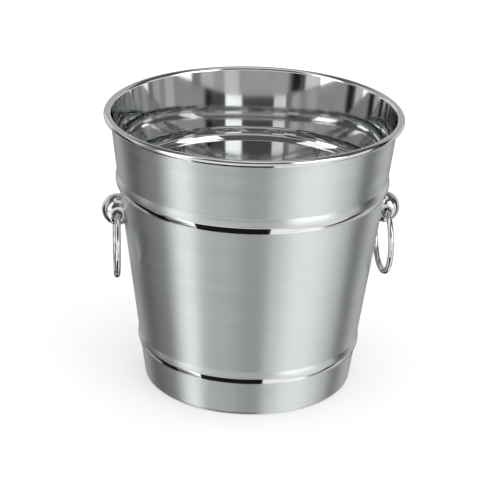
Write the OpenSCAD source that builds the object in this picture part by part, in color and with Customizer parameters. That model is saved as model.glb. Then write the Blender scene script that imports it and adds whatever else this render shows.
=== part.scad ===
// Tapered champagne bucket in stainless sheet, with two swinging ring handles.
// Millimetres, +Z up. The origin is the centre of the resting face and the two lugs lie on the X axis.

/* [Bucket] */
// Overall height, from the table to the top of the rolled rim
bucket_h = 209.5; // [200:0.5:220]
// Outside diameter over the rolled rim
rim_d = 220; // [212:1:232]
// Outside diameter of the rolled rim's own section
curl_d = 5.2; // [4:0.1:7]
// Thickness of the sheet
wall_t = 0.8; // [0.6:0.1:1]
// Taper of the band above the upper bead, in degrees from upright
top_taper = 7.1; // [6:0.1:8]
// Taper of the main band between the beads, in degrees from upright
body_taper = 7.75; // [7:0.05:8.5]
// Taper of the band below the lower bead, in degrees from upright
foot_taper = 8; // [7:0.1:9]

/* [Beads] */
// Height of the upper bead's middle above the table
upper_bead_z = 157.5; // [156:0.5:162]
// Width of the upper bead along the wall
upper_bead_w = 11.4; // [8:0.1:12]
// How far the upper bead stands out of the wall
upper_bead_h = 1.7; // [1:0.1:2]
// Height of the lower bead's middle above the table
lower_bead_z = 32.2; // [28:0.1:40]
// Width of the lower bead along the wall
lower_bead_w = 9.4; // [7:0.1:11]
// How far the lower bead stands out of the wall
lower_bead_h = 1.3; // [0.9:0.1:1.8]

/* [Bottom] */
// Outside radius of the corner between the wall and the bottom
corner_r = 3; // [2:0.5:6]
// Width of the flat ring that the bucket rests on
rest_w = 12; // [8:1:20]
// How far the middle of the bottom is pressed up
panel_rise = 2; // [1.5:0.1:4]

/* [Ball lugs] */
// Diameter of each ball
ball_d = 23.4; // [22:0.1:25]
// Height of each ball's centre above the table
ball_z = 133.3; // [131:0.1:135]
// Distance from the ball's centre to the outside of the wall
ball_stand = 3.4; // [3:0.1:4]
// Diameter of the socket that each end of a ring sits in
socket_d = 7.2; // [7:0.1:7.6]
// Half of the solid web left between a ball's two sockets
socket_web = 4.2; // [3.8:0.1:4.4]

/* [Rings] */
// Diameter of a ring at the middle of its wire
ring_d = 51; // [50:0.5:54]
// Diameter of the wire
wire_d = 4.4; // [3.8:0.1:4.4]
// How far the right ring hangs turned in its loose sockets, in degrees
right_turn = 4.5; // [0:0.5:5]

/* [Lug fixings] */
// Thread diameter of the screw
screw_d = 5; // [4:0.5:5]
// Length of the screw under its head
screw_l = 12; // [10:0.5:12]
// Diameter of the steel washer
washer_d = 15; // [12:0.5:16]
// Thickness of the steel washer
washer_t = 1.2; // [1:0.1:1.6]
// Diameter of the sealing washer
seal_d = 14; // [11:0.5:15]
// Thickness of the sealing washer at its middle
seal_t = 1.5; // [1:0.1:2]

/* [Hidden] */
$fn = 96;

STEEL = "silver";
RUBBER = "dimgray";

// How far a cutting shape runs past what it cuts.
PAST = 1;

// Rolled rim: the wall's inner face runs straight into the outside of the curl.
curl_r = curl_d / 2;
curl_c = [rim_d / 2 - curl_r, bucket_h - curl_r];
// Angle on the curl where its edge stops, just short of the wall, so that it isn't a sealed tube.
curl_end = -135;

// Outside of the wall, as [radius, height] at the top, at each bead's middle and at the table.
top_p = [curl_c.x - curl_r * cos(top_taper) + wall_t / cos(top_taper), curl_c.y + curl_r * sin(top_taper)];
upper_p = [top_p.x - (top_p.y - upper_bead_z) * tan(top_taper), upper_bead_z];
lower_p = [upper_p.x - (upper_bead_z - lower_bead_z) * tan(body_taper), lower_bead_z];
foot_p = [lower_p.x - lower_bead_z * tan(foot_taper), 0];

// Centre of the rounded corner at the bottom, which touches both the table and the foot band.
corner_c = [foot_p.x - corner_r * (1 - sin(foot_taper)) / cos(foot_taper), corner_r];
corner_p = corner_c + corner_r * [cos(foot_taper), -sin(foot_taper)];
// Radius where the resting ring ends, and where the raised panel begins.
rest_r = corner_c.x - rest_w;
panel_r = rest_r - 2 * panel_rise;

// Lug: the fixing axis stands square on the wall and runs through the ball's centre.
ball_r = ball_d / 2;
ball_x = lower_p.x + (ball_z - lower_bead_z) * tan(body_taper) + ball_stand / cos(body_taper);
wire_r = wire_d / 2;
ring_r = ring_d / 2;
// The swing axis, a little outside and below the ball's centre, so that the wire clears the wall.
axis_out = 0.75;
axis_drop = 1;
axis_x = ball_x + axis_out;
axis_z = ball_z - axis_drop;
// The ring's ends stop short of the web between the sockets, by enough for their slanting faces to clear it.
end_play = 1;
end_y = socket_web + end_play;
// Height of the swing axis over the ring's centre, which shares the play between both ends of a socket.
ring_hang = (sqrt(pow(ring_r, 2) - pow(end_y, 2)) + sqrt(pow(ring_r, 2) - pow(ball_r - axis_drop, 2))) / 2;
// Countersink at each socket's mouth.
mouth_grow = 1.6;

// Screw: head and hexagon socket of a button-head screw, taken from its thread diameter.
head_d = 1.9 * screw_d;
head_h = 0.55 * screw_d;
key_w = 0.6 * screw_d;
tap_play = 0.05;
wall_play = 0.25;
tap_depth = 10;

// Steps along each rounded stretch of the section.
bead_steps = 16;
corner_steps = 8;
curl_steps = 32;

// Radius of the wall's outside at a height between the beads.
function body_r(z) = lower_p.x + (z - lower_bead_z) * tan(body_taper);

// Points along an arc from one angle to another.
function arc(c, r, from, to, steps) =
    [for (i = [0:steps]) let (a = from + (to - from) * i / steps) c + r * [cos(a), sin(a)]];

// Radius of the arc that spans a bead's width and height.
function bead_r(w, h) = (pow(w / 2, 2) + pow(h, 2)) / (2 * h);

// A bead's arc, read upwards. Inset 0 is its outside, and an inset of wall_t is the groove behind it.
function bead(p, w, h, inset) =
    let (
        r = bead_r(w, h),
        c = p - (r - h) * [cos(body_taper), -sin(body_taper)],
        half = acos((r - h - inset) / (r - inset))
    )
    arc(c, r - inset, -body_taper - half, -body_taper + half, bead_steps);

// Both beads and the wall between them, read upwards.
function beads(inset) =
    concat(
        bead(lower_p, lower_bead_w, lower_bead_h, inset),
        bead(upper_p, upper_bead_w, upper_bead_h, inset)
    );

// A list of points read the other way.
function reversed(points) = [for (i = [len(points) - 1:-1:0]) points[i]];

// The outside of the bottom and of its corner, or the inside one sheet thickness in.
function bottom(inset) =
    concat(
        [[0, panel_rise + inset], [panel_r, panel_rise + inset], [rest_r, inset]],
        arc(corner_c, corner_r - inset, -90, -foot_taper, corner_steps)
    );

// Half of the bucket's section: up the outside, round the curl, and down the inside.
module sheet_section()
    polygon(concat(
        bottom(0),
        beads(0),
        arc(curl_c, curl_r - wall_t, 180 - top_taper, curl_end, curl_steps),
        arc(curl_c, curl_r, curl_end, 180 - top_taper, curl_steps),
        reversed(beads(wall_t)),
        reversed(bottom(wall_t))
    ));

// Puts what is drawn for the right-hand side on side 1, or turned half round on side -1.
module on_side(side)
    rotate([0, 0, side > 0 ? 0 : 180])
        children();

// Moves to where the fixing axis meets the outside of the wall, with +Z pointing squarely out of it.
module at_fixing()
    translate([ball_x, 0, ball_z])
        rotate([0, 90 + body_taper, 0])
            translate([0, 0, -ball_stand])
                children();

// The cone that the wall follows between the beads, moved inwards.
module body_cone(inward)
    rotate_extrude($fn = 360)
        polygon([
            [0, lower_bead_z],
            [body_r(lower_bead_z) - inward, lower_bead_z],
            [body_r(upper_bead_z) - inward, upper_bead_z],
            [0, upper_bead_z]
        ]);

module bucket_shell()
    color(STEEL)
        difference() {
            rotate_extrude()
                sheet_section();
            for (side = [-1, 1])
                on_side(side)
                    at_fixing()
                        translate([0, 0, -wall_t - PAST])
                            cylinder(d = screw_d + 2 * wall_play, h = wall_t + 2 * PAST);
        }

// One socket with its countersunk mouth, along +Y from the web.
module socket() {
    mouth_y = ball_r - mouth_grow;
    rotate([-90, 0, 0]) {
        translate([0, 0, socket_web])
            cylinder(d = socket_d, h = ball_r - socket_web + PAST);
        translate([0, 0, mouth_y])
            cylinder(d1 = socket_d, d2 = socket_d + 4 * mouth_grow, h = 2 * mouth_grow);
    }
}

module ball_lug(side)
    color(STEEL)
        on_side(side)
            difference() {
                at_fixing()
                    translate([0, 0, ball_stand])
                        sphere(d = ball_d);
                body_cone(0);
                for (turn = [0, 180])
                    translate([axis_x, 0, axis_z])
                        rotate([0, 0, turn])
                            socket();
                at_fixing()
                    translate([0, 0, -PAST])
                        cylinder(d = screw_d + 2 * tap_play, h = tap_depth + PAST);
            }

// A ring hangs in the upright plane beside the wall, open at the top inside the ball.
module ring(side, turn)
    color(STEEL)
        on_side(side)
            translate([axis_x, 0, axis_z - ring_hang])
                rotate([0, 0, turn])
                    rotate([0, 90, 0])
                        rotate([0, 0, 180 + asin(end_y / ring_r)])
                            rotate_extrude(angle = 360 - 2 * asin(end_y / ring_r))
                                translate([ring_r, 0])
                                    circle(d = wire_d);

module lug_seal(side)
    color(RUBBER)
        on_side(side)
            difference() {
                intersection() {
                    at_fixing()
                        translate([0, 0, -wall_t - seal_t])
                            cylinder(d = seal_d, h = seal_t + PAST);
                    body_cone(wall_t / cos(body_taper));
                }
                at_fixing()
                    translate([0, 0, -wall_t - seal_t - PAST])
                        cylinder(d = screw_d + 2 * tap_play, h = seal_t + 3 * PAST);
            }

module lug_washer(side)
    color(STEEL)
        on_side(side)
            at_fixing()
                translate([0, 0, -wall_t - seal_t - washer_t])
                    difference() {
                        cylinder(d = washer_d, h = washer_t);
                        translate([0, 0, -PAST])
                            cylinder(d = screw_d + 2 * wall_play, h = washer_t + 2 * PAST);
                    }

module lug_screw(side) {
    // Radius of the sphere that domes the head down to a third of its height at the edge.
    edge_h = head_h / 3;
    dome = head_h - edge_h;
    dome_r = (pow(head_d / 2, 2) + pow(dome, 2)) / (2 * dome);
    color(STEEL)
        on_side(side)
            at_fixing()
                translate([0, 0, -wall_t - seal_t - washer_t]) {
                    cylinder(d = screw_d, h = screw_l);
                    difference() {
                        intersection() {
                            translate([0, 0, -head_h])
                                cylinder(d = head_d, h = head_h);
                            translate([0, 0, dome_r - head_h])
                                sphere(r = dome_r);
                        }
                        translate([0, 0, -head_h - PAST])
                            cylinder(d = key_w / cos(30), h = head_h / 2 + PAST, $fn = 6);
                    }
                }
}

bucket_shell();
ball_lug(-1);  // left_ball_lug
ball_lug(1);  // right_ball_lug
ring(-1, 0);  // left_ring
ring(1, right_turn);  // right_ring
lug_screw(-1);  // left_lug_screw
lug_screw(1);  // right_lug_screw
lug_washer(-1);  // left_washer
lug_washer(1);  // right_washer
lug_seal(-1);  // left_seal
lug_seal(1);  // right_seal
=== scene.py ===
# %% [markdown]
# # A champagne bucket in stainless steel
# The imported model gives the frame: every piece here is in metres, +Z up, with the origin at the centre of
# the ring that the bucket rests on. The two ball lugs lie on the X axis. This file gives each piece the
# smooth surface and the finish of the real thing, and leaves every size as the frame has it.

# %% Load the frame
import math

import bmesh
import bpy
import numpy as np
from mathutils import Matrix, Vector


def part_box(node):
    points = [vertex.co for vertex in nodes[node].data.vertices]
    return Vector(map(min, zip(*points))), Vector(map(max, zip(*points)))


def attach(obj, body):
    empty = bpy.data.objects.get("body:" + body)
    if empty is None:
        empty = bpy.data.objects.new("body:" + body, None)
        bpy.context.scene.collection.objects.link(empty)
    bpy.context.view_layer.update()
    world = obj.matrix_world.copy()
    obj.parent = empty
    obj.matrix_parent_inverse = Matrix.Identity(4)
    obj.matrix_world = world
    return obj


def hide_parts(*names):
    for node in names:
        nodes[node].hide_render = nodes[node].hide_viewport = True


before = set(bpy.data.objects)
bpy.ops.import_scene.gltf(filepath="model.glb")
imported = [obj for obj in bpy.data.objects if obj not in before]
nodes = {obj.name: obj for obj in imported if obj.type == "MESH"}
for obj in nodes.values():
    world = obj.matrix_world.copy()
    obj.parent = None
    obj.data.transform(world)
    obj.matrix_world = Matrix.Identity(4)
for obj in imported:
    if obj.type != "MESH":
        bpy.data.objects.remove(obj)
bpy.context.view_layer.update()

# %% [markdown]
# ## Sizes
# The design's driving sizes, in millimetres and degrees. The heights and widths over all come from the
# frame's own boxes, and the rest are the design's values for the sheet, the beads, the lugs and the rings.

# %% Driving sizes
MM = 0.001
shell_low, shell_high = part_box("bucket_shell")
HEIGHT = (shell_high.z - shell_low.z) / MM
RIM_RADIUS = (shell_high.x - shell_low.x) / 2 / MM

# The sheet, its rolled rim, its beads and its bottom
SHEET = 0.8
CURL_RADIUS = 2.6
TOP_TAPER, BODY_TAPER, FOOT_TAPER = np.radians([7.1, 7.75, 8.0])
UPPER_BEAD = {"z": 157.5, "width": 11.4, "height": 1.7}
LOWER_BEAD = {"z": 32.2, "width": 9.4, "height": 1.3}
CORNER_RADIUS = 3.0
REST_WIDTH = 12.0
PANEL_RISE = 2.0

# The ball lugs with their sockets, and the rings
BALL_RADIUS = 11.7
BALL_Z = 133.3
BALL_STAND = 3.4
SOCKET_RADIUS = 3.6
SOCKET_WEB = 4.2
RING_RADIUS = 25.5
WIRE_RADIUS = 2.2
RING_END_Y = 5.2
RIGHT_TURN = math.radians(4.5)
print(f"Rim {2 * RIM_RADIUS:.1f} mm across, {HEIGHT:.1f} mm high")

# %% [markdown]
# The wall is a stack of three cones. Going down from the rim, each point follows from the one above and
# the taper of the band between them, just as a press tool is laid out from its largest diameter.

# %% Lay out the wall
CURL_CENTRE = np.array([RIM_RADIUS - CURL_RADIUS, HEIGHT - CURL_RADIUS])
top_z = CURL_CENTRE[1] + CURL_RADIUS * math.sin(TOP_TAPER)
top_radius = CURL_CENTRE[0] - CURL_RADIUS * math.cos(TOP_TAPER) + SHEET / math.cos(TOP_TAPER)
upper_radius = top_radius - (top_z - UPPER_BEAD["z"]) * math.tan(TOP_TAPER)
lower_radius = upper_radius - (UPPER_BEAD["z"] - LOWER_BEAD["z"]) * math.tan(BODY_TAPER)
foot_radius = lower_radius - LOWER_BEAD["z"] * math.tan(FOOT_TAPER)
print(f"Wall radius: {top_radius:.2f} at the rim, {upper_radius:.2f} and {lower_radius:.2f} at the beads,"
      f" {foot_radius:.2f} at the table")


def wall_radius(z):
    """Outside radius of the plain wall at height z between the beads: a straight line from bead to bead."""
    return lower_radius + (z - LOWER_BEAD["z"]) * np.tan(BODY_TAPER)


# %% [markdown]
# ## The camera
# A long lens from well back and a little above, turned so that the right lug looks away from the camera.
# It is placed by where it aims, how far back and how high it stands, and a small roll of the camera.

# %% Place the camera
AIM = Vector((-0.0003, 0.0, 0.0991))
DISTANCE = 1.490
AZIMUTH, ELEVATION, ROLL = np.radians([-6.2, 22.545, 1.68])
FOCAL_MM, SENSOR_MM = 142.75, 36.0


def camera_axes(azimuth, elevation, roll):
    """Right, up and back as unit vectors. Back points from the aim to the camera:
    (sin a cos e, -cos a cos e, sin e). Right and up are then turned about it by the roll."""
    back = Vector((math.sin(azimuth) * math.cos(elevation),
                   -math.cos(azimuth) * math.cos(elevation),
                   math.sin(elevation)))
    right = Vector((0, 0, 1)).cross(back).normalized()
    up = back.cross(right)
    return (right * math.cos(roll) + up * math.sin(roll),
            up * math.cos(roll) - right * math.sin(roll),
            back)


right, up, back = camera_axes(AZIMUTH, ELEVATION, ROLL)
lens = bpy.data.cameras.new("studio_camera")
lens.lens = FOCAL_MM
lens.sensor_width = SENSOR_MM
camera = bpy.data.objects.new("studio_camera", lens)
turn_of_camera = Matrix((right, up, back)).transposed().to_4x4()
camera.matrix_world = Matrix.Translation(AIM + DISTANCE * back) @ turn_of_camera
bpy.context.scene.collection.objects.link(camera)
bpy.context.scene.camera = camera
print("Camera at", [round(v, 3) for v in camera.matrix_world.translation])

# %% [markdown]
# ## Helpers for making meshes
# Every surface is worked out as one numpy array of points on a grid. The grid closes on itself across its
# columns, and a row that shrinks to a point becomes one vertex with triangles round it.

# %% Mesh helpers
def grid_faces(rows, columns):
    """Corner numbers of the quads of a rows by columns grid that closes on itself across its columns:
    (i, j), (i, j+1), (i+1, j+1), (i+1, j)."""
    i = np.arange(rows - 1)[:, None] * columns
    j = np.arange(columns)[None, :]
    j_next = (j + 1) % columns
    quads = np.stack(np.broadcast_arrays(
        i + j, i + j_next, i + columns + j_next, i + columns + j), axis=-1)
    return quads.reshape(-1, 4)


def make_piece(name, points, faces):
    """A mesh object from points in millimetres and a list of faces."""
    mesh = bpy.data.meshes.new(name)
    mesh.from_pydata((np.asarray(points).reshape(-1, 3) * MM).tolist(), [], faces)
    mesh.validate()
    mesh.polygons.foreach_set("use_smooth", np.full(len(mesh.polygons), True))
    mesh.update()
    piece = bpy.data.objects.new(name, mesh)
    bpy.context.scene.collection.objects.link(piece)
    return piece


def close_with_poles(points, first, last):
    """Adds a point before and after the rows of a grid, with the triangles that close both ends."""
    rows, columns = points.shape[:2]
    all_points = np.concatenate([points.reshape(-1, 3), [first, last]])
    j = np.arange(columns)
    j_next = (j + 1) % columns
    start = np.full(columns, rows * columns)
    top = (rows - 1) * columns
    caps = np.concatenate([np.stack([start, j_next, j], axis=-1),
                           np.stack([start + 1, top + j, top + j_next], axis=-1)])
    return all_points, grid_faces(rows, columns).tolist() + caps.tolist()


# %% [markdown]
# ## The drawn sheet
# On the real bucket one disc of stainless sheet is pressed into a cone in a few steps. The beads are then
# rolled in from inside, and the edge is curled outwards over the rim. A lathe shape is the honest way to
# make it: a section in (radius, height), carried once round the axis. The section runs up the outside,
# round the curl and down the inside, so that the sheet has its real thickness everywhere.

# %% Arcs and blends
def arc(centre, radius, start, end, steps):
    """Points centre + radius (cos a, sin a), for a going evenly from start to end."""
    a = np.linspace(start, end, steps + 1)[:, None]
    return np.asarray(centre) + radius * np.hstack([np.cos(a), np.sin(a)])


def blend(a, corner, b, steps=6):
    """A parabola from a to b that leaves and arrives along the lines to the corner:
    (1-t)^2 a + 2t(1-t) corner + t^2 b."""
    t = np.linspace(0, 1, steps + 1)[:, None]
    return (1 - t) ** 2 * a + 2 * t * (1 - t) * corner + t ** 2 * b


def round_corners(line, reach, sharpest=12, share=0.45):
    """Blends each corner that turns by sharpest degrees or more, from at most reach before it to as far
    after it and within that share of the spans beside it. The other points are kept."""
    here = line[1:-1]
    to_last, to_next = line[:-2] - here, line[2:] - here
    last_length, next_length = np.linalg.norm(to_last, axis=1), np.linalg.norm(to_next, axis=1)
    straightness = -(to_last * to_next).sum(1) / (last_length * next_length)
    turn = np.degrees(np.arccos(np.clip(straightness, -1, 1)))
    made, start = [line[:1]], 0
    for k in np.flatnonzero(turn >= sharpest):
        made += [here[start:k], blend(here[k] + to_last[k] * min(reach / last_length[k], share), here[k],
                                      here[k] + to_next[k] * min(reach / next_length[k], share))]
        start = k + 1
    return np.vstack([*made, here[start:], line[-1:]])


# %% [markdown]
# Sheet can't fold sharply, so the arc of a bead doesn't meet the wall in a crease: a small blend joins
# them. It is kept short, because the roller that forms the bead leaves a crisp edge.

# %% Lines of the section
BLEND_REACH = 0.6
PANEL_BLEND = 1.5
CORNER_STEPS = 10


def bead_line(bead, radius_there, inset, steps=16):
    """One bead read upwards: a blend out of the wall, the arc that spans the bead's width and height, and
    a blend back. An inset of one sheet thickness gives the groove on the inside."""
    half_width, height = bead["width"] / 2, bead["height"]
    outer = (half_width ** 2 + height ** 2) / (2 * height)
    centre = np.array([radius_there, bead["z"]]) + (outer - height) * np.array(
        [-math.cos(BODY_TAPER), math.sin(BODY_TAPER)])
    r = outer - inset
    half_angle = math.acos((outer - height - inset) / r)
    kept = half_angle - BLEND_REACH / r
    along_wall = BLEND_REACH * np.array([math.sin(BODY_TAPER), math.cos(BODY_TAPER)])
    low, high = arc(centre, r, -BODY_TAPER - half_angle, -BODY_TAPER + half_angle, 1)
    middle = arc(centre, r, -BODY_TAPER - kept, -BODY_TAPER + kept, steps)
    return np.vstack([blend(low - along_wall, low, middle[0]), middle[1:-1],
                      blend(middle[-1], high, high + along_wall)])


def bottom_line(inset):
    """From the middle of the bottom out to the top of its corner. The inset moves it into the bucket."""
    corner_x = foot_radius - CORNER_RADIUS * (1 - math.sin(FOOT_TAPER)) / math.cos(FOOT_TAPER)
    rest_x = corner_x - REST_WIDTH
    panel_x = rest_x - 2 * PANEL_RISE
    flat = np.array([[panel_x / 2, PANEL_RISE], [panel_x, PANEL_RISE], [rest_x, 0]]) + [0, inset]
    corner = arc((corner_x, CORNER_RADIUS), CORNER_RADIUS - inset, -math.pi / 2, -FOOT_TAPER, CORNER_STEPS)
    return np.vstack([round_corners(np.vstack([flat, corner[:1]]), PANEL_BLEND), corner[1:]])


def wall_line(inset):
    """The bottom, then both beads. The plain bands are the spans between them."""
    return np.vstack([bottom_line(inset), bead_line(LOWER_BEAD, lower_radius, inset),
                      bead_line(UPPER_BEAD, upper_radius, inset)])


def fill_straights(line, short=2, longest=14, guard=0.25):
    """Cuts every span over short into even pieces no longer than longest, with a point at guard from each
    of its ends. The end pieces take up the change of shading, so that the plain wall stays plain."""
    spans = np.diff(line, axis=0)
    lengths = np.linalg.norm(spans, axis=1)
    made, start = [], 0
    for k in np.flatnonzero(lengths > short):
        near = guard / lengths[k]
        stops = np.union1d(np.linspace(0, 1, math.ceil(lengths[k] / longest) + 1), [near, 1 - near])
        made += [line[start:k + 1], line[k] + spans[k] * stops[1:-1, None]]
        start = k + 1
    return np.vstack([*made, line[start:]])


# %% [markdown]
# The curl is an open tube: its inner side runs from the wall out over the top to the free edge underneath,
# and its outer side runs back. The free edge itself is slightly rounded.

# %% Section of the sheet
CURL_END = math.radians(-135)
EDGE_BLEND = 0.35
INNER_STEPS, OUTER_STEPS = 40, 56
inner_curl = arc(CURL_CENTRE, CURL_RADIUS - SHEET, math.pi - TOP_TAPER, CURL_END, INNER_STEPS)
outer_curl = arc(CURL_CENTRE, CURL_RADIUS, CURL_END, math.pi - TOP_TAPER, OUTER_STEPS)
outside_rows = len(fill_straights(np.vstack([wall_line(0), inner_curl[:1]])))
section = fill_straights(np.vstack([
    wall_line(0), round_corners(np.vstack([inner_curl, outer_curl]), EDGE_BLEND), wall_line(SHEET)[::-1]]))
print(f"Section of {len(section)} points, {outside_rows} of them on the outside")

# %% [markdown]
# The section is carried round in 300 even steps of 1.2 degrees, fine enough for smooth shading to hide them
# in a mirror finish. The middle of the bottom closes on one point on each side.

# %% Turn the sheet
TURNS = 300


def turned(line, turns):
    """Points (r cos a, r sin a, z) for each (r, z) of the line and each even angle a."""
    a = np.linspace(0, 2 * np.pi, turns, endpoint=False)[None, :]
    r, z = line[:, :1], line[:, 1:]
    return np.stack([r * np.cos(a), r * np.sin(a), np.broadcast_to(z, (len(line), turns))], axis=-1)


sheet_points, sheet_faces = close_with_poles(
    turned(section, TURNS), (0, 0, section[0, 1]), (0, 0, section[-1, 1]))
sheet = make_piece("bucket_sheet", sheet_points, sheet_faces)
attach(sheet, "bucket")
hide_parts("bucket_shell")
print(f"Sheet: {len(sheet.data.polygons)} faces")

# %% [markdown]
# The satin bands lie only on the outside: the belt runs over the wall and the upper half of each bead and
# misses the lower half, which turns down out of its way. Everything else is left bright. A number on each
# face says which finish it takes, worked out from its row in the section.

# %% Mark the satin bands
MIRROR, SATIN = 0, 1
SATIN_FROM_Z = 0.5


def satin_rows(line):
    """True for each span of the section that the belt reaches, judged by the height of its middle: the
    outside of the wall from just over the table, less the lower half of each bead."""
    z = (line[:-1, 1] + line[1:, 1]) / 2
    satin = (np.arange(len(z)) < outside_rows - 1) & (z > SATIN_FROM_Z)
    for bead in (UPPER_BEAD, LOWER_BEAD):
        satin &= (z > bead["z"]) | (z < bead["z"] - bead["width"] / 2)
    return satin


row_finish = np.where(satin_rows(section), SATIN, MIRROR)
face_finish = np.concatenate([np.repeat(row_finish, TURNS), np.full(2 * TURNS, MIRROR)])
print("Satin faces:", int(face_finish.sum()))

# %% [markdown]
# ## Ball lugs
# Each lug is a polished ball with its back cut to the wall, and a blind socket drilled in from each side.
# The socket's line runs a little outside and below the ball's centre. Seen from that line, the ball is a
# single surface that can be written as a distance from the line, so the whole lug is one grid: out of the
# first socket's floor, along its wall, over its rounded mouth, across the ball, and into the other one.

# %% Shape of a lug
ball_x = wall_radius(BALL_Z) + BALL_STAND / math.cos(BODY_TAPER)
AXIS_OUT, AXIS_DROP = 0.75, 1.0
AXIS_X, AXIS_Z = ball_x + AXIS_OUT, BALL_Z - AXIS_DROP
print(f"Ball centre at x {ball_x:.2f} z {BALL_Z}, swing axis at x {AXIS_X:.2f} z {AXIS_Z}")


def ball_distance(y, angle):
    """Distance from the swing axis to the ball, at y along it and an angle round it: the positive root r
    of |r u - d|^2 = R^2 - y^2, where u is the direction and d goes from the axis to the ball's centre."""
    d = np.array([-AXIS_OUT, AXIS_DROP])
    along = d[0] * np.cos(angle) + d[1] * np.sin(angle)
    return along + np.sqrt(np.maximum(along ** 2 - d @ d - y ** 2 + BALL_RADIUS ** 2, 0))


# The lip round a socket starts this far outside the socket's wall and ends this far down it. Its corner
# point stands this far out from the wall and this far in from where the sharp edge would be.
MOUTH_MARGIN, LIP_DEPTH = 1.95, 1.6
LIP_SIDE, LIP_TOP = 0.35, 0.1


def lug_points(side, around=160, across=96, lip_rows=10, wall_rows=5):
    """The lug's grid. Rows go along the swing axis and columns go round it. The distance from the axis is
    the ball's outside, the socket's radius inside, and a parabola over the lip between them:
    (1-s)^2 edge + 2s(1-s) corner + s^2 wall."""
    angle = np.linspace(0, 2 * np.pi, around, endpoint=False)[None, :]
    mouth_y = math.sqrt(BALL_RADIUS ** 2 - (SOCKET_RADIUS + MOUTH_MARGIN) ** 2)
    y_ball = mouth_y * np.sin(np.linspace(-1, 1, across)[:, None] * np.pi / 2)
    r_ball = ball_distance(y_ball, angle)
    y_ball = np.broadcast_to(y_ball, r_ball.shape)
    corner_y = math.sqrt(BALL_RADIUS ** 2 - SOCKET_RADIUS ** 2)
    wall_y = corner_y - LIP_DEPTH
    s = np.linspace(0, 1, lip_rows + 1)[1:, None]
    r_lip = (1 - s) ** 2 * r_ball[-1:] + 2 * s * (1 - s) * (SOCKET_RADIUS + LIP_SIDE) + s ** 2 * SOCKET_RADIUS
    y_lip = (1 - s) ** 2 * y_ball[-1:] + 2 * s * (1 - s) * (corner_y - LIP_TOP) + s ** 2 * wall_y
    y_in = np.append(np.linspace(wall_y, SOCKET_WEB, wall_rows + 1)[1:], SOCKET_WEB)[:, None]
    r_in = np.append(np.full(wall_rows, SOCKET_RADIUS), SOCKET_RADIUS / 2)[:, None]
    half_y = np.vstack([y_lip, np.broadcast_to(y_in, (wall_rows + 1, around))])
    half_r = np.vstack([r_lip, np.broadcast_to(r_in, (wall_rows + 1, around))])
    y = np.vstack([-half_y[::-1], y_ball, half_y])
    r = np.vstack([half_r[::-1], r_ball, half_r])
    points = np.stack([AXIS_X + r * np.cos(angle), y, AXIS_Z + r * np.sin(angle)], axis=-1)
    return seat_on_wall(points) * [side, side, 1]


def seat_on_wall(points, sunk=0.35):
    """Moves every point that lies deeper than sunk inside the wall's face straight out to that depth, which
    gives the back its saddle shape: the point's radius is raised to the wall's radius less sunk."""
    radius = np.hypot(points[..., 0], points[..., 1])
    factor = np.maximum((wall_radius(points[..., 2]) - sunk) / radius, 1)
    return points * np.stack([factor, factor, np.ones_like(factor)], axis=-1)


lugs = {}
for name, side in (("left", -1), ("right", 1)):
    points, faces = close_with_poles(lug_points(side), (side * AXIS_X, -side * SOCKET_WEB, AXIS_Z),
                                     (side * AXIS_X, side * SOCKET_WEB, AXIS_Z))
    lugs[name] = make_piece(f"{name}_polished_lug", points, faces)
    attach(lugs[name], "bucket")
    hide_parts(f"{name}_ball_lug")
print("Lug faces:", len(lugs["left"].data.polygons))

# %% [markdown]
# ## Rings
# A ring is a length of round rod bent to a circle and left open, so that it can be sprung into the lug's
# two sockets. Only its ends are hidden in the ball. It is a tube round a circular path, which is the
# simplest surface of two angles: one along the ring and one round the wire. The ends are slightly domed.

# %% Shape of a ring
END_ANGLE = math.asin(RING_END_Y / RING_RADIUS)
# The ring's centre hangs this far below the swing axis, which shares the play between both ends of a socket.
HANG = (math.sqrt(RING_RADIUS ** 2 - RING_END_Y ** 2)
        + math.sqrt(RING_RADIUS ** 2 - (BALL_RADIUS - AXIS_DROP) ** 2)) / 2
# Each end is domed in three rows, each so many millimetres in from the end and that share of the wire wide.
DOME_IN = np.array([0, 0.09, 0.3])
DOME_SHARE = np.array([0.72, 0.9, 0.98])


def ring_points(side, turn, along=256, around=32):
    """Centre of the wire at RING_RADIUS (sin u, cos u) in the upright plane, for u from one end to the
    other, and the wire's surface at w round it: x = w sin v, radius = RING_RADIUS + w cos v. The ring is
    then turned about the upright and hung from the swing axis."""
    inner = np.linspace(END_ANGLE, 2 * np.pi - END_ANGLE, along)[1:-1]
    first = END_ANGLE + DOME_IN / RING_RADIUS
    u = np.concatenate([first, inner, 2 * np.pi - first[::-1]])[:, None]
    w = WIRE_RADIUS * np.concatenate([DOME_SHARE, np.ones(along - 2), DOME_SHARE[::-1]])[:, None]
    v = np.linspace(0, 2 * np.pi, around, endpoint=False)[None, :]
    radius = RING_RADIUS + w * np.cos(v)
    x, y, z = w * np.sin(v), radius * np.sin(u), radius * np.cos(u) - HANG
    c, s = math.cos(turn), math.sin(turn)
    points = np.stack([c * x - s * y + AXIS_X, s * x + c * y, z + AXIS_Z], axis=-1)
    return points * [side, side, 1]


rings = {}
for name, side, turn in (("left", -1, 0.0), ("right", 1, RIGHT_TURN)):
    grid = ring_points(side, turn)
    points, faces = close_with_poles(grid, grid[0].mean(axis=0), grid[-1].mean(axis=0))
    rings[name] = make_piece(f"{name}_bent_ring", points, faces)
    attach(rings[name], f"{name}_handle")
    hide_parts(f"{name}_ring")
print("Ring faces:", len(rings["left"].data.polygons))

# %% [markdown]
# Faces must point outwards for the metal to shade well. Each new mesh is closed, so Blender can work out
# which way that is from the shape alone.

# %% Point the faces outwards
def face_outwards(piece):
    """Turns the faces of a closed mesh to point out of it."""
    work = bmesh.new()
    work.from_mesh(piece.data)
    bmesh.ops.recalc_face_normals(work, faces=work.faces)
    volume = work.calc_volume(signed=True)
    work.to_mesh(piece.data)
    work.free()
    return volume


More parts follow.
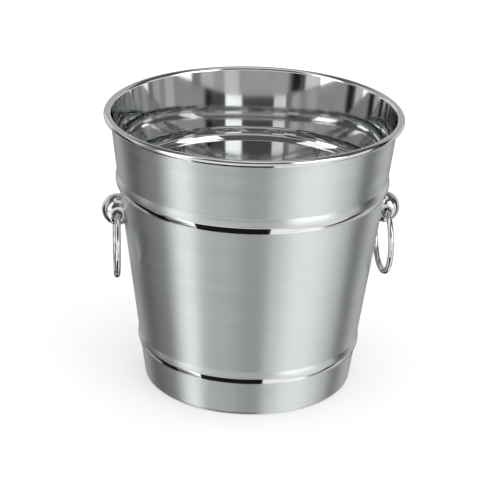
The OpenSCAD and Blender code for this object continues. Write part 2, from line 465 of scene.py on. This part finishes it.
for piece in (sheet, *lugs.values(), *rings.values()):
    print(f"{piece.name}: {face_outwards(piece) * 1e9:.0f} mm3")

# %% [markdown]
# ## Finishes
# All the metal is one alloy, and only its surface differs. Polished steel is almost a mirror with a faint
# waviness left by the press tool and a haze of fine rubbing marks. Satin steel is drawn past an abrasive
# belt while it turns, so its scratches run round the bucket. Light then spreads up and down but stays
# sharp from side to side, which gives the long upright streaks.

# %% Material helpers
def new_material(name):
    """A material with an empty node tree, its shader and its output."""
    material = bpy.data.materials.new(name)
    material.use_nodes = True
    tree = material.node_tree
    tree.nodes.clear()
    output = tree.nodes.new("ShaderNodeOutputMaterial")
    shader = tree.nodes.new("ShaderNodeBsdfPrincipled")
    tree.links.new(shader.outputs["BSDF"], output.inputs["Surface"])
    return material, tree, shader


def stretched_noise(tree, scale, detail=3.0, roughness=0.5):
    """Noise on the piece's own coordinates, with its own scale along each axis, in waves per metre."""
    place = tree.nodes.new("ShaderNodeTexCoord")
    stretch = tree.nodes.new("ShaderNodeMapping")
    stretch.inputs["Scale"].default_value = scale
    noise = tree.nodes.new("ShaderNodeTexNoise")
    noise.inputs["Scale"].default_value = 1.0
    noise.inputs["Detail"].default_value = detail
    noise.inputs["Roughness"].default_value = roughness
    tree.links.new(place.outputs["Object"], stretch.inputs["Vector"])
    tree.links.new(stretch.outputs["Vector"], noise.inputs["Vector"])
    return noise.outputs["Fac"]


NOISE_LOW, NOISE_HIGH = 0.3, 0.7


def spread(tree, value, low, high):
    """Maps a noise value, which seldom leaves NOISE_LOW to NOISE_HIGH, to the range from low to high."""
    node = tree.nodes.new("ShaderNodeMapRange")
    node.inputs["From Min"].default_value = NOISE_LOW
    node.inputs["From Max"].default_value = NOISE_HIGH
    node.inputs["To Min"].default_value = low
    node.inputs["To Max"].default_value = high
    tree.links.new(value, node.inputs["Value"])
    return node.outputs["Result"]


def mixed_colour(tree, value, colour_a, colour_b):
    """A colour between two, by a value from 0 to 1."""
    node = tree.nodes.new("ShaderNodeMix")
    node.data_type = "RGBA"
    node.inputs["A"].default_value = (*colour_a, 1)
    node.inputs["B"].default_value = (*colour_b, 1)
    tree.links.new(value, node.inputs["Factor"])
    return node.outputs["Result"]


def metal(name):
    """A new material set to metal."""
    material, tree, shader = new_material(name)
    shader.inputs["Metallic"].default_value = 1.0
    return material, tree, shader


def two_tone(tree, shader, value, colour_a, colour_b):
    """Base colour that goes from one tone to the other with a noise value."""
    tree.links.new(mixed_colour(tree, spread(tree, value, 0, 1), colour_a, colour_b),
                   shader.inputs["Base Color"])


def uneven_roughness(tree, shader, value, low, high):
    """Roughness that goes from low to high with a noise value."""
    tree.links.new(spread(tree, value, low, high), shader.inputs["Roughness"])


def bumped(tree, shader, height, distance, strength=1.0):
    """A bump on the shader's normal, of distance in metres where the height is 1."""
    bump = tree.nodes.new("ShaderNodeBump")
    bump.inputs["Distance"].default_value = distance
    bump.inputs["Strength"].default_value = strength
    tree.links.new(height, bump.inputs["Height"])
    tree.links.new(bump.outputs["Normal"], shader.inputs["Normal"])


# %% Polished steel
POLISHED_BRIGHT, POLISHED_DULL = (0.80, 0.81, 0.805), (0.75, 0.76, 0.755)
HAZE_RISE = 1.8


def polished_steel(name, roughness, waviness):
    """Mirror finish: low roughness that a fine haze raises up to HAZE_RISE times, and a slow wave in the
    surface, of that waviness in metres."""
    material, tree, shader = metal(name)
    haze = stretched_noise(tree, (60, 60, 60), detail=6)
    two_tone(tree, shader, haze, POLISHED_BRIGHT, POLISHED_DULL)
    uneven_roughness(tree, shader, haze, roughness, roughness * HAZE_RISE)
    bumped(tree, shader, stretched_noise(tree, (14, 14, 9), detail=1), waviness)
    return material


mirror_steel = polished_steel("mirror_polished_steel", 0.035, 0.00018)
lug_steel = polished_steel("polished_lug_steel", 0.03, 0.00005)
ring_steel = polished_steel("polished_ring_steel", 0.04, 0.00002)

# %% Satin steel
SATIN_BRIGHT, SATIN_DULL = (0.79, 0.82, 0.82), (0.72, 0.745, 0.745)
QUARTER_TURN = 0.25


def satin_steel():
    """Belt-brushed finish. Fine lines run round the wall, so the noise changes fast with height and slowly
    round the bucket. They drive the bump and a slight change of tone, and broader bands the roughness."""
    material, tree, shader = metal("satin_brushed_steel")
    shader.inputs["Anisotropic"].default_value = 0.9
    shader.inputs["Anisotropic Rotation"].default_value = QUARTER_TURN
    lines = stretched_noise(tree, (9, 9, 2600), detail=4, roughness=0.65)
    bands = stretched_noise(tree, (5, 5, 160))
    two_tone(tree, shader, lines, SATIN_BRIGHT, SATIN_DULL)
    uneven_roughness(tree, shader, bands, 0.36, 0.42)
    bumped(tree, shader, lines, 0.00001, strength=0.25)
    return material


satin = satin_steel()

# %% Plain and soft finishes of the hidden fixings
def turned_steel(name):
    """Steel as it leaves the lathe or the press: grey, softly shiny, with fine marks."""
    material, tree, shader = metal(name)
    marks = stretched_noise(tree, (900, 900, 900))
    two_tone(tree, shader, marks, (0.62, 0.62, 0.61), (0.5, 0.5, 0.5))
    uneven_roughness(tree, shader, marks, 0.2, 0.34)
    bumped(tree, shader, marks, 0.00002, strength=0.3)
    return material


def soft_rubber():
    """Moulded rubber: almost black, dull, with a dusty bloom and a fine grain."""
    material, tree, shader = new_material("sealing_rubber")
    bloom = stretched_noise(tree, (400, 400, 400), detail=4)
    grain = stretched_noise(tree, (3500, 3500, 3500), detail=2)
    two_tone(tree, shader, bloom, (0.02, 0.02, 0.02), (0.05, 0.05, 0.048))
    uneven_roughness(tree, shader, bloom, 0.6, 0.8)
    bumped(tree, shader, grain, 0.00003, strength=0.4)
    return material


# %% [markdown]
# The sheet has two slots, and its faces choose between them by the numbers worked out above. The hidden
# screws, washers and seals keep the frame's own meshes and only take a finish.

# %% Give each piece its finish
def dress(piece, *materials):
    """Puts these materials in the piece's slots."""
    piece.data.materials.clear()
    for material in materials:
        piece.data.materials.append(material)


dress(sheet, mirror_steel, satin)
sheet.data.polygons.foreach_set("material_index", face_finish.astype(np.int32))
FINISHES = {"lug_screw": turned_steel("turned_screw_steel"), "washer": turned_steel("stamped_washer_steel"),
            "seal": soft_rubber()}
for name in ("left", "right"):
    dress(lugs[name], lug_steel)
    dress(rings[name], ring_steel)
    for node, finish in FINISHES.items():
        dress(nodes[f"{name}_{node}"], finish)
print("Finished:", len(lugs) + len(rings) + 1, "new pieces and", 2 * len(FINISHES), "pieces of the frame")

# %% [markdown]
# ## Floor and studio
# The bucket stands on a plain pale floor. Polished metal shows nothing but its surroundings, so the studio
# is what gives it its look. It is built in the world's shader as soft boxes and dark cards round the
# bucket, each placed by its direction: an azimuth from the camera, positive to its right, and an elevation.

# %% Floor
FLOOR_GLOW = 0.22


def pale_floor(size=8.0):
    """One large square under the bucket, at the height that it rests at. It glows a little, which keeps it
    pale in the bucket's shade, and it doesn't show in the metal, where the studio's own patches stand in."""
    h = size / 2 / MM
    floor = make_piece("studio_floor", [[-h, -h, 0], [h, -h, 0], [h, h, 0], [-h, h, 0]], [[0, 1, 2, 3]])
    material, tree, shader = new_material("pale_floor")
    shader.inputs["Roughness"].default_value = 0.9
    grain = stretched_noise(tree, (30, 30, 30), detail=4)
    two_tone(tree, shader, grain, (0.93, 0.93, 0.93), (0.92, 0.92, 0.92))
    shader.inputs["Emission Color"].default_value = (1, 1, 1, 1)
    shader.inputs["Emission Strength"].default_value = FLOOR_GLOW
    dress(floor, material)
    floor.visible_glossy = False
    return floor


floor = pale_floor()
print("Floor:", [round(v, 1) for v in floor.dimensions[:2]], "m")

# %% Studio
ROOM_LIGHT = 0.13
# Each patch has a middle azimuth and half its width, a middle elevation and half its height, the softness
# of its upright and level edges, all in degrees, and how much light it adds or takes away.
SOFT_BOXES = {
    "table_glow": (13, 85, -22, 40, 6, 8, 0.95),
    "front_glow": (-24, 30, -30, 13, 10, 8, 0.15),
    "left_wall": (-92, 20, -20, 50, 10, 16, 0.22),
    "left_back": (-142, 12, -24, 44, 6, 14, 0.40),
    "left_window": (-68, 11, -50, 36, 6, 10, 0.70),
    "left_high_window": (-62, 14, 30, 28, 4, 8, 1.35),
    "right_high_window": (52, 20, 26, 22, 4, 8, 2.30),
    "right_back": (133, 20, -38, 38, 8, 14, 0.60),
    "back_wall": (197, 72, 14, 24, 10, 14, 0.46),
    "ceiling": (0, 200, 80, 14, 20, 14, 0.90),
}
DARK_CARDS = {
    "front_dip": (12, 22, -28, 9, 16, 8, 0.52),
    "left_card": (-114, 13, -32, 36, 8, 12, 0.90),
    "right_card": (113, 6, -10, 46, 4, 12, 0.80),
}
# Sheets on the table, right below the bucket. Their azimuth is twice that of the point of a round wall
# that shows them to the camera, so that their ends look upright on the beads.
TABLE_SHEETS = {"white_sheet": (10, 86, -84, 25, 4, 6, 1.05)}
TABLE_CARDS = {
    "black_front": (-16, 32.5, -71, 29, 2, 3, 0.99),
    "black_left": (-89, 12, -70, 29, 3, 3, 0.92),
}


def operate(tree, operation, *values):
    """One math node: each value is a number or a socket."""
    node = tree.nodes.new("ShaderNodeMath")
    node.operation = operation
    for k, value in enumerate(values):
        if isinstance(value, (int, float)):
            node.inputs[k].default_value = value
        else:
            tree.links.new(value, node.inputs[k])
    return node.outputs[0]


def band_of(tree, value, middle, half, soft):
    """1 within half of the middle and 0 past it, with a smooth step of width soft between, in degrees."""
    away = operate(tree, "ABSOLUTE", operate(tree, "SUBTRACT",
                   operate(tree, "WRAP", value, middle + 180.0, middle - 180.0), middle))
    ramp = tree.nodes.new("ShaderNodeMapRange")
    ramp.interpolation_type = "SMOOTHSTEP"
    ramp.inputs["From Min"].default_value = half + soft / 2
    ramp.inputs["From Max"].default_value = half - soft / 2
    tree.links.new(away, ramp.inputs["Value"])
    return ramp.outputs["Result"]


def patch_of(tree, azimuth, elevation, patch):
    """A soft-edged rectangle of directions: its band of azimuth times its band of elevation."""
    az, half_az, el, half_el, soft_az, soft_el, _ = patch
    return operate(tree, "MULTIPLY", band_of(tree, azimuth, az, half_az, soft_az),
                   band_of(tree, elevation, el, half_el, soft_el))


def build_studio():
    """World shader: brightness by direction for the metal, and plain white for the floor and the backdrop.
    With -y towards the camera, azimuth is atan2(x, -y) and elevation is asin z. A wall that mirrors a ray
    to the camera faces half-way between them, so its own azimuth is atan2(x, cos(camera elevation) - y)."""
    world = bpy.data.worlds.new("studio")
    world.use_nodes = True
    tree = world.node_tree
    tree.nodes.clear()
    direction = tree.nodes.new("ShaderNodeTexCoord")
    turned_to_camera = tree.nodes.new("ShaderNodeVectorRotate")
    turned_to_camera.rotation_type = "Z_AXIS"
    turned_to_camera.inputs["Angle"].default_value = -AZIMUTH
    tree.links.new(direction.outputs["Generated"], turned_to_camera.inputs["Vector"])
    parts = tree.nodes.new("ShaderNodeSeparateXYZ")
    tree.links.new(turned_to_camera.outputs["Vector"], parts.inputs["Vector"])
    x, y, z = parts.outputs
    to_degrees = 180 / math.pi
    to_camera = operate(tree, "MULTIPLY", y, -1.0)
    azimuth = operate(tree, "MULTIPLY", operate(tree, "ARCTAN2", x, to_camera), to_degrees)
    elevation = operate(tree, "MULTIPLY", operate(tree, "ARCSINE", z), to_degrees)
    wall_azimuth = operate(tree, "MULTIPLY", operate(tree, "ARCTAN2", x, operate(
        tree, "SUBTRACT", math.cos(ELEVATION), y)), 2 * to_degrees)
    light = ROOM_LIGHT
    for boxes, turn in ((SOFT_BOXES, azimuth), (TABLE_SHEETS, wall_azimuth)):
        for box in boxes.values():
            light = operate(tree, "ADD", light,
                            operate(tree, "MULTIPLY", patch_of(tree, turn, elevation, box), box[-1]))
    for cards, turn in ((DARK_CARDS, azimuth), (TABLE_CARDS, wall_azimuth)):
        for card in cards.values():
            taken = operate(tree, "MULTIPLY", patch_of(tree, turn, elevation, card), card[-1])
            light = operate(tree, "MULTIPLY", light, operate(tree, "SUBTRACT", 1.0, taken))
    studio_light = tree.nodes.new("ShaderNodeBackground")
    tree.links.new(light, studio_light.inputs["Strength"])
    backdrop = tree.nodes.new("ShaderNodeBackground")
    backdrop.inputs["Strength"].default_value = 1.0
    backdrop.inputs["Color"].default_value = (1, 1, 1, 1)
    ray = tree.nodes.new("ShaderNodeLightPath")
    choose = tree.nodes.new("ShaderNodeMixShader")
    tree.links.new(operate(tree, "MAXIMUM", ray.outputs["Is Camera Ray"], ray.outputs["Is Diffuse Ray"]),
                   choose.inputs["Fac"])
    tree.links.new(studio_light.outputs[0], choose.inputs[1])
    tree.links.new(backdrop.outputs[0], choose.inputs[2])
    output = tree.nodes.new("ShaderNodeOutputWorld")
    tree.links.new(choose.outputs[0], output.inputs["Surface"])
    bpy.context.scene.world = world


build_studio()
bpy.context.scene.view_settings.view_transform = "Standard"
# Light that goes in at the mouth is thrown from wall to wall many times before it comes out.
bpy.context.scene.cycles.max_bounces = 20
bpy.context.scene.cycles.glossy_bounces = 16
print("Lights:", len(SOFT_BOXES) + len(TABLE_SHEETS), "dark cards:", len(DARK_CARDS) + len(TABLE_CARDS))
